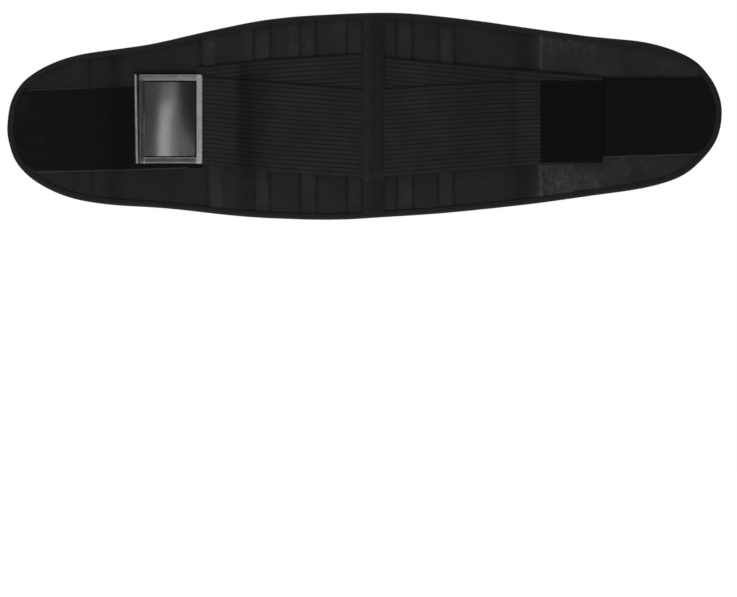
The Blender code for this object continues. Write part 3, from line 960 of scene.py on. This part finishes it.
def web_shade(side, x, z):
    """Painted shade in each strap's soft fold across it; on the right the webs are also a little darker along
    the middle.
    """
    if side == "left":
        fold = 0.58 * dent(x + 0.145, 8 * MM) + 0.22 * dent(x + 0.130, 13 * MM)
        return -fold * (1 - 0.5 * smoothstep((z - 0.048) / 0.008))
    middle = smoothstep((x - 0.09) / 0.03) * smoothstep((0.185 - x) / 0.01)
    return -0.08 * middle - 0.12 * dent(x - WEB_FOLDS[1], 5 * MM)


def make_web(side, layer, outer, inner):
    """One web, in its four lengths. The right upper one also covers the tab's backing, and climbs onto it."""
    nodes = nodes_named(f"{side}_{layer}_web_")
    climbs = (side, layer) == ("right", "upper")
    low, high = node_outline(*nodes, *["right_tab_backing"] * climbs)[:2]
    if (side, layer) == ("right", "lower"):
        low = lambda x, straight=low: straight(x) + 0.03 * np.maximum(x - 0.198, 0)
    rim_shares = [0.0012, 0.003, 0.997, 0.9988]
    ts = np.unique(np.concatenate([np.linspace(0, 1, RIBS * POINTS_PER_RIB + 1), rim_shares]))

    def back(x, z, t):
        return inner - (1.0 * MM * smoothstep((x - 0.188) / (13 * MM)) if climbs else 0 * x)

    def front(x, z, t):
        edge = rim(t, 0.006)
        slack = 0.20 * MM * rough(x, z, 30, 41 if side == "left" else 47)
        raised = (outer - inner) * (0.35 + 0.65 * edge)
        fold = 0.30 * MM * (dent(x - WEB_FOLDS[0], 9 * MM) + 0.5 * dent(x - WEB_FOLDS[1], 9 * MM))
        return back(x, z, t) + raised + 0.60 * MM * (1 - rib(t)) * edge - slack + fold

    for length in STRAPS[side]:
        suffix, x0, x1 = length[:3]
        if (side, suffix) == ("left", "d"):
            x0 = LEFT_WEBS_END
        place = "back" if suffix in "ab" else "flank"
        under = f"shell_{side}_{place}" if layer == "upper" else f"{side}_upper_web_{suffix}"
        make_sheet(
            f"{side}_{layer}_web_{suffix}", columns(x0, x1, 4 * MM), ts, low, high, front, back, WEB,
            length, "elastic_web", nodes, under, WEB_WIDTH, lambda x, z: web_shade(side, x, z),
        )


COVER_MIDDLE = 1 * MM


def make_cover():
    """The strip over the webs' inner ends, with a soft fold down its left third."""
    left, right = (corner.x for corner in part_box("centre_cover"))
    close = np.array([0.1, 0.25]) * MM
    xs = np.unique(np.concatenate([np.linspace(left, right, 54), left + close, right - close]))
    width = right - left

    def face(x, z, t):
        share = (x - left) / width
        lift = smoothstep((80 * MM - np.abs(z - COVER_MIDDLE)) / (14 * MM))
        flat = -6.1 * MM - 0.35 * MM * rim(share, 0.1)
        raised = -9.5 * MM - 0.65 * MM * rim(share, 0.12)
        fold = 0.5 * MM * dent(share - 0.33, 0.07) - 0.35 * MM * dent(share - 0.2, 0.1)
        seam = 0.35 * MM * (dent(share - 0.09, 0.025) + dent(share - 0.91, 0.025))
        return flat + (raised - flat) * lift + fold + seam - 0.15 * MM * rough(x, z, 13, 61)

    def shade(x, z):
        """Painted light and shade across the fold: lighter left of it than right of it; also darker in a line
        near the left edge.
        """
        share = (x - left) / width
        return 0.16 - 0.42 * smoothstep((share - 0.30) / 0.14) - 0.3 * dent(share - 0.06, 0.03)

    make_sheet(
        "centre_cover_strip", xs, rows(110), *edges_inset(6.2 * MM), face, level(-5.5 * MM), COVER,
        "back_panel", "cover_strip", ["centre_cover"], "left_lower_web_a", lift=shade,
    )


def within(x, left, right):
    """1 along a loop panel's straight edges, and 0 where the binding bounds it."""
    return smoothstep((x - left - 14 * MM) / (6 * MM)) * smoothstep((right - 14 * MM - x) / (6 * MM))


def make_loop_panel(side, lengths):
    nodes = nodes_named(f"{side}_loop_panel_")
    low, high, left, right = node_outline(*nodes)

    def face(x, z, t):
        edge = np.minimum(rim(t, 0.02), np.sqrt(np.clip(np.minimum(x - left, right - x) / (2 * MM), 0.02, 1)))
        return -5.7 * MM - 0.75 * MM * edge - 0.16 * MM * rough(x, z, 11, 71) * edge

    def shade(x, z):
        """Light along the two sewn edges and at the left end, and painted shade where the belt dips."""
        edges = 0.75 * (dent(high(x) - z, 1.1 * MM) + dent(z - low(x), 1.1 * MM)) * within(x, left, right)
        left_end = 0.07 * smoothstep((-0.34 - x) / 0.08) + 0.10 * smoothstep((-0.31 - x) / 0.03)
        return edges + left_end - 0.20 * dent(x + 0.296, 15 * MM)

    for length in lengths:
        name, x0, x1 = length[:3]
        xs = columns(max(left, x0) + 0.01 * MM, min(right, x1), 2.5 * MM)
        make_sheet(
            f"{side}_loop_panel_{name}", xs, rows(84, 0.012), low, high, face, level(-5.0 * MM), LOOP,
            length, "loop_velvet", nodes, "shell_" + name, lift=shade,
        )


# --- tabs ---


def make_tab_layers(side, length):
    """A tab's backing, with the hook pad behind it. The right one is thinner in front, under the web."""
    backing, hook = side + "_tab_backing", side + "_tab_hook_pad"
    low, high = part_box(backing)
    thin = 0.6 * MM if side == "right" else 0
    make_sheet(
        backing + "_cloth", columns(low.x, high.x, 2.2 * MM), rows(52, 0.012), *node_outline(backing)[:2],
        lambda x, z, t: low.y + thin - 0.1 * MM * rough(x, z, 9, 81),
        lambda x, z, t: high.y + 0.05 * MM * rough(x, z, 9, 83),
        BACKING, length, "tab_backing", [backing], side + "_lower_web_d",
    )
    start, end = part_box(hook)
    make_sheet(
        hook + "_tape", columns(start.x, end.x, 1.5 * MM), rows(130, 0.01), *node_outline(hook)[:2],
        level(start.y + 0.05 * MM),
        lambda x, z, t: start.y + (end.y - start.y) * (0.45 + 0.5 * rim(t, 0.02) * hook_rows(x, z)),
        HOOK, length, "hook_tape", [hook], backing + "_cloth",
    )


def hook_rows(x, z):
    """Rows of moulded hooks, 2.1 mm apart."""
    row = np.abs(np.sin(np.pi * z / (2.1 * MM))) ** 0.7
    return 0.35 + 0.65 * row * (0.8 + 0.2 * np.sin(2 * np.pi * x / (3.1 * MM)))


LABEL_GAP, LABEL_BORDER, LABEL_LIP = 5.2 * MM, 7.6 * MM, 3.0 * MM


def border_light(x, z, low, high):
    """Painted light on the glossy border: light at the right, less so at the top, dim below and dark at the
    left, with a painted highlight along the left rim line.
    """
    right = smoothstep((x - (high.x - LABEL_BORDER)) / MM)
    top = smoothstep((z - (high.z - LABEL_BORDER)) / MM)
    bottom = smoothstep((low.z + LABEL_BORDER - z) / MM)
    rim_line = low.x + LABEL_GAP + LABEL_BORDER
    left = smoothstep((rim_line - x) / (2.0 * MM)) * (1 - top) * (1 - bottom)
    lit_rim = 0.45 * dent(x - rim_line + 0.6 * MM, 0.9 * MM) * smoothstep((0.02 - z) / 0.03) * (1 - top)
    along = (x - low.x) / (high.x - low.x)
    bands = np.maximum(np.maximum(0.80 * right, (0.26 + 0.19 * along) * top), (0.07 + 0.15 * along) * bottom)
    return bands * (1 - left) + lit_rim


def make_label_film(length):
    """The blank glossy film, dished and a little wavy."""
    low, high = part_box("left_tab_label_plate")
    middle, half = (low + high) / 2, (high - low) / 2
    past = 0.4 * MM

    def face(x, z, t):
        across, up = (x - middle.x) / half.x, (z - middle.z) / half.z
        buckle = 0.62 * (1 - across**2) * (0.30 + 0.70 * smoothstep((up + 1) / 1.5))
        wave = 0.07 * np.sin(across * 3.1 + up * 1.3 + 0.6) + 0.03 * rough(x, z, 34, 91)
        return low.y + MM * (0.75 - buckle + wave)

    piece = slab(
        "left_tab_label_film", columns(low.x - past, high.x + past, 1.1 * MM), rows(84), level(low.z - past),
        level(high.z + past), face, level(high.y - 0.1 * MM), LABEL,
    )
    carry(piece, length, ["left_tab_label_plate"])


def make_label_border(length):
    """The raised border, and a thin lifted lip on its left, which leans."""
    node = "left_tab_label_frame"
    low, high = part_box(node)
    outline = rounded(low.x + LABEL_GAP, high.x, low.z, high.z, 2.4 * MM)
    top, width = low.y + 0.1 * MM, LABEL_BORDER
    profile = [
        (0, high.y), (0, top + 1.1 * MM), (0.35 * MM, top + 0.4 * MM), (1.0 * MM, top + 0.05 * MM),
        (1.9 * MM, top), (width - 2.3 * MM, top + 0.22 * MM), (width - 1.1 * MM, top + 0.35 * MM),
        (width - 0.4 * MM, top + 0.8 * MM), (width, top + 1.5 * MM), (width, high.y),
    ]
    piece = sweep("left_tab_label_border", [outline], profile, LABEL_EDGE, closed=True)
    # The border's sides carry painted light and shade.
    mark(piece, lambda x, z: border_light(x, z, low, high))
    carry(piece, length, [node])

    piece = slab(
        "left_tab_label_lip", np.linspace(0, LABEL_LIP, 9), rows(60), level(low.z), level(high.z),
        lambda x, z, t: high.y - 2.0 * MM * rim(x / LABEL_LIP, 0.45) - 0.25 * MM * np.sin(t * 9.0),
        level(high.y), LABEL_EDGE,
    )
    points = points_of(piece)
    points[:, 0] += low.x + 2.0 * MM * (high.z - points[:, 2]) / (high.z - low.z)
    piece.data.vertices.foreach_set("co", points.ravel())
    mark(piece, level(0.75))
    carry(piece, length)


def rounded(low_x, high_x, low_z, high_z, radius, spacing=1.5 * MM, steps=8):
    """A rounded rectangle as (places, inward normals), anticlockwise."""
    corners = (
        (high_x - radius, high_z - radius), (low_x + radius, high_z - radius),
        (low_x + radius, low_z + radius), (high_x - radius, low_z + radius),
    )
    places, inward = [], []
    for i, corner in enumerate(corners):
        turn = math.pi * (0.5 * i + 0.5 * np.arange(steps + 1) / steps)
        out = np.stack([np.cos(turn), np.sin(turn)], 1)
        start = corner + radius * out[-1]
        side = corners[(i + 1) % 4] + radius * out[-1] - start
        count = int(np.linalg.norm(side) / spacing)
        places += [*(corner + radius * out), *(start + side * np.arange(1, count)[:, None] / count)]
        inward += [*-out, *[-out[-1]] * (count - 1)]
    return np.array(places), np.array(inward)


def make_right_pad(length):
    node = "right_tab_loop_pad"
    low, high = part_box(node)
    xs = columns(low.x, high.x, 1.8 * MM, (low.x + 2 * MM, high.x - 2 * MM))

    def face(x, z, t):
        side = np.sqrt(np.clip(np.minimum(x - low.x, high.x - x) / (2.2 * MM), 0.0, 1))
        edge = np.minimum(rim(t, 0.025), side)
        return high.y - (high.y - low.y) * (0.25 + 0.75 * edge) - 0.14 * MM * rough(x, z, 10, 97) * edge

    make_sheet(
        "right_tab_loop_cloth", xs, rows(64, 0.02), *node_outline(node)[:2], face, level(high.y + 0.2 * MM),
        LOOP, length, "loop_velvet", [node], "right_tab_backing_cloth", lift=level(-0.14),
    )


# --- inner face details ---


def make_hook_panel():
    """The hook tape over the left tip, with a pale woven selvedge along its straight side."""
    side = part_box("hook_panel")[1].x
    low, high, left, _ = envelope(EDGE + INWARD * 6.6 * MM)
    xs = columns(left + 0.5 * MM, side, 1.9 * MM)

    def face(x, z, t):
        edge = rim(t, 0.01) * np.sqrt(np.clip((side - x) / (1.5 * MM), 0, 1))
        return MM * (0.25 + (0.2 + 0.8 * hook_rows(x, z)) * edge - 0.3 * panel_seam_dents(x, z))

    make_sheet(
        "hook_panel_tape", xs, rows(330, 0.004), low, high, level(-0.3 * MM), face, HOOK,
        "left_tip", "hook_tape", ["hook_panel"], "lining_left_end",
    )
    start, width = side - 0.2 * MM, 1.2 * MM
    trim = slab(
        "hook_panel_selvedge", start + np.linspace(0, width, 8), rows(70), *edges_inset(6.4 * MM),
        level(-0.2 * MM), lambda x, z, t: 0.3 * MM + 0.75 * MM * rim((x - start) / width, 0.5), SELVEDGE,
    )
    carry(trim, BELT[0])


def make_tag():
    """The blank tag, which curls away from the lining on its right."""
    low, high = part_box("size_tag")

    def curl(x, z, t):
        share = (x - low.x) / (high.x - low.x)
        return 0.23 * MM + 0.9 * MM * share**2 + 0.12 * MM * np.sin(z * 500)

    make_sheet(
        "size_tag_cloth", np.linspace(low.x, high.x, 13), rows(13), level(low.z), level(high.z),
        curl, lambda x, z, t: curl(x, z, t) + 0.26 * MM, TAG,
        BELT[0], "size_tag", ["size_tag"], "lining_left_end",
    )


# --- stitching ---


def straight(x0, z0, x1, z1, count=40):
    share = np.linspace(0, 1, count)
    return np.stack([x0 + (x1 - x0) * share, z0 + (z1 - z0) * share], 1)


def channel_path(line):
    z = np.linspace(BELT_LOW(line) + BINDING_WIDTH, BELT_HIGH(line) - BINDING_WIDTH, 80)
    return np.stack([wander(z, line), z], 1)


def on(face, height):
    """Just above a surface, for a thread that lies on it."""
    return lambda x, z: face(x, z, 0) + height


def box_path(low_x, low_z, high_x, high_z):
    """The four sides of a box, anticlockwise from its low corner."""
    corners = [(low_x, low_z), (high_x, low_z), (high_x, high_z), (low_x, high_z)]
    return [straight(*a, *b) for a, b in zip(corners, corners[1:] + corners[:1])]


def make_belt_stitching():
    outer, inner = [], []
    for line in CHANNEL_LINES:
        inner += stitch_row(channel_path(line), on(lining_face, 0.12 * MM))
    for low, high, z_low, z_high, _ in PANEL_SEAMS:
        inner += stitch_row(straight(low, z_low, high, z_high), on(lining_face, 0.1 * MM))
    ring = EDGE + INWARD * 5.2 * MM
    ring = np.concatenate([ring, ring[:1]])
    outer += stitch_row(ring, level(-6.38 * MM))
    inner += stitch_row(ring, level(0.82 * MM))
    on_panel = level(-6.3 * MM)
    for side in ("left", "right"):
        low, high, left, right = node_outline(*nodes_named(f"{side}_loop_panel_"))
        xs = np.linspace(left + 3 * MM, right - 2 * MM, 60)
        outer += stitch_row(np.stack([xs, low(xs) + 2.6 * MM], 1), on_panel)
        outer += stitch_row(np.stack([xs, high(xs) - 2.6 * MM], 1), on_panel)
        end = left + 3 * MM if side == "left" else right - 3 * MM
        outer += stitch_row(straight(end, low(end) + 3 * MM, end, high(end) - 3 * MM), on_panel)
    for length in BELT:
        name, low, high = length[:3]
        for face, made, slot in (("outer", outer, "edge_binding"), ("inner", inner, "lining")):
            picked = [s for s in made if low <= s[0][0] < high]
            carry(stitches(f"thread_{face}_{name}", picked, THREAD), length)


def make_strap_stitching():
    low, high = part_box("centre_cover")
    on_shell, on_webs = level(-6.35 * MM), level(-9.95 * MM)
    flat, raised = 89 * MM, 67 * MM
    made = []
    for x in (low.x + 2.4 * MM, high.x - 2.4 * MM):
        made += stitch_row(straight(x, BELT_LOW(x) + 8 * MM, x, COVER_MIDDLE - flat), on_shell)
        made += stitch_row(straight(x, COVER_MIDDLE + flat, x, BELT_HIGH(x) - 8 * MM), on_shell)
        made += stitch_row(straight(x, COVER_MIDDLE - raised, x, COVER_MIDDLE + raised), on_webs)
    carry(stitches("thread_cover", made, THREAD), "back_panel")
    low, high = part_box("right_tab_loop_pad")
    gap = 3 * MM
    sides, on_pad = box_path(low.x + gap, low.z + gap, high.x - gap, high.z - gap), level(-11.1 * MM)
    made = sum((stitch_row(side, on_pad) for side in sides), [])
    carry(stitches("thread_right_tab", made, PAD_THREAD), STRAPS["right"][3])


# --- the set ---

AMBIENT = 0.17
BELT_CENTRE, LABEL_CENTRE = (0, 0, 0), (-0.24, 0, 0)

# Soft panels: name, place, what each faces, width, height and watts. The last four are for the label's sheen.
PANELS = (
    ("low_key", (-0.25, -1.15, -1.15), BELT_CENTRE, 1.9, 0.5, 17),
    ("high_fill", (-0.9, -2.4, 1.3), BELT_CENTRE, 1.3, 1.3, 11),
    ("behind_low", (0.3, 1.6, -1.0), BELT_CENTRE, 1.6, 0.6, 17),
    ("behind_high", (0.9, 2.2, 1.3), BELT_CENTRE, 1.3, 1.3, 13),
    ("label_strip", (-0.540, -3.9, -0.46), LABEL_CENTRE, 0.13, 1.6, 2.4),
    ("label_top", (-0.545, -3.9, -0.38), LABEL_CENTRE, 0.15, 1.6, 0.9),
    ("label_foot", (-0.550, -3.9, -0.60), LABEL_CENTRE, 0.20, 1.6, 0.7),
    ("label_glow", (-0.76, -3.9, 0.0), LABEL_CENTRE, 0.35, 1.6, 0.7),
)


def make_floor():
    floor = bpy.data.meshes.new("floor")
    far, height = 14.0, -1.4
    corners = [(x * far, y * far, height) for x, y in ((-1, -1), (1, -1), (1, 1), (-1, 1))]
    floor.from_pydata(corners, [], [(0, 1, 2, 3)])
    made = place_object("floor", floor)
    pale = bpy.data.materials.new("pale_floor")
    pale.use_nodes = True
    shader = pale.node_tree.nodes["Principled BSDF"]
    shader.inputs["Base Color"].default_value = (0.93, 0.93, 0.93, 1)
    shader.inputs["Roughness"].default_value = 0.9
    floor.materials.append(pale)


def area_light(name, place, target, width, height, power):
    light = bpy.data.lights.new(name, "AREA")
    light.shape = "RECTANGLE"
    light.size, light.size_y, light.energy = width, height, power
    made = place_object(name, light)
    made.location = place
    made.rotation_euler = (Vector(target) - Vector(place)).to_track_quat("-Z", "Y").to_euler()
    made.visible_camera = False


def make_studio():
    world = bpy.data.worlds.new("studio")
    bpy.context.scene.world = world
    world.use_nodes = True
    nodes, links = world.node_tree.nodes, world.node_tree.links
    nodes["Background"].inputs["Color"].default_value = (1, 1, 1, 1)
    seen = nodes.new("ShaderNodeLightPath")
    strength = nodes.new("ShaderNodeMath")
    strength.operation = "MULTIPLY_ADD"
    strength.inputs[1].default_value = 1 - AMBIENT
    strength.inputs[2].default_value = AMBIENT
    links.new(seen.outputs["Is Camera Ray"], strength.inputs[0])
    links.new(strength.outputs[0], nodes["Background"].inputs["Strength"])
    for light in PANELS:
        area_light(*light)
    sun = bpy.data.lights.new("overhead", "SUN")
    sun.energy, sun.angle = 3.3, math.radians(50)
    place_object("overhead", sun)
    bpy.context.scene.view_settings.view_transform = "Standard"


def make_camera():
    """Level with a point below the belt, which so stands in the upper half of the frame."""
    distance, frame_width = 3.0, 0.8877
    camera = bpy.data.cameras.new("camera")
    camera.sensor_width = 36
    camera.lens = 36 * (distance - 6 * MM) / frame_width
    made = place_object("camera", camera)
    made.location = (4.2 * MM, -distance, -0.2193)
    made.rotation_euler = (math.pi / 2, 0, 0)
    bpy.context.scene.camera = made


make_camera()
make_studio()
make_floor()
make_shell()
make_lining()
make_binding()
make_welt("left", BELT[1], ((-0.071, 3.0), (0.050, -2.0), (0.073, 3.5)))
make_welt("right", BELT[4], ((-0.078, -2.5), (0.060, 2.0), (0.084, -3.0)))
for web_side in ("left", "right"):
    make_web(web_side, "upper", -8.0 * MM, -6.6 * MM)
    make_web(web_side, "lower", -9.6 * MM, -8.2 * MM)
make_cover()
make_loop_panel("left", BELT[:2])
make_loop_panel("right", BELT[4:])
make_tab_layers("left", STRAPS["left"][3])
make_tab_layers("right", STRAPS["right"][3])
make_label_film(STRAPS["left"][3])
make_label_border(STRAPS["left"][3])
make_right_pad(STRAPS["right"][3])
make_hook_panel()
make_tag()
make_belt_stitching()
make_strap_stitching()
for stay in nodes_named("stay_"):
    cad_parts[stay].data.materials.clear()
    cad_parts[stay].data.materials.append(STEEL)
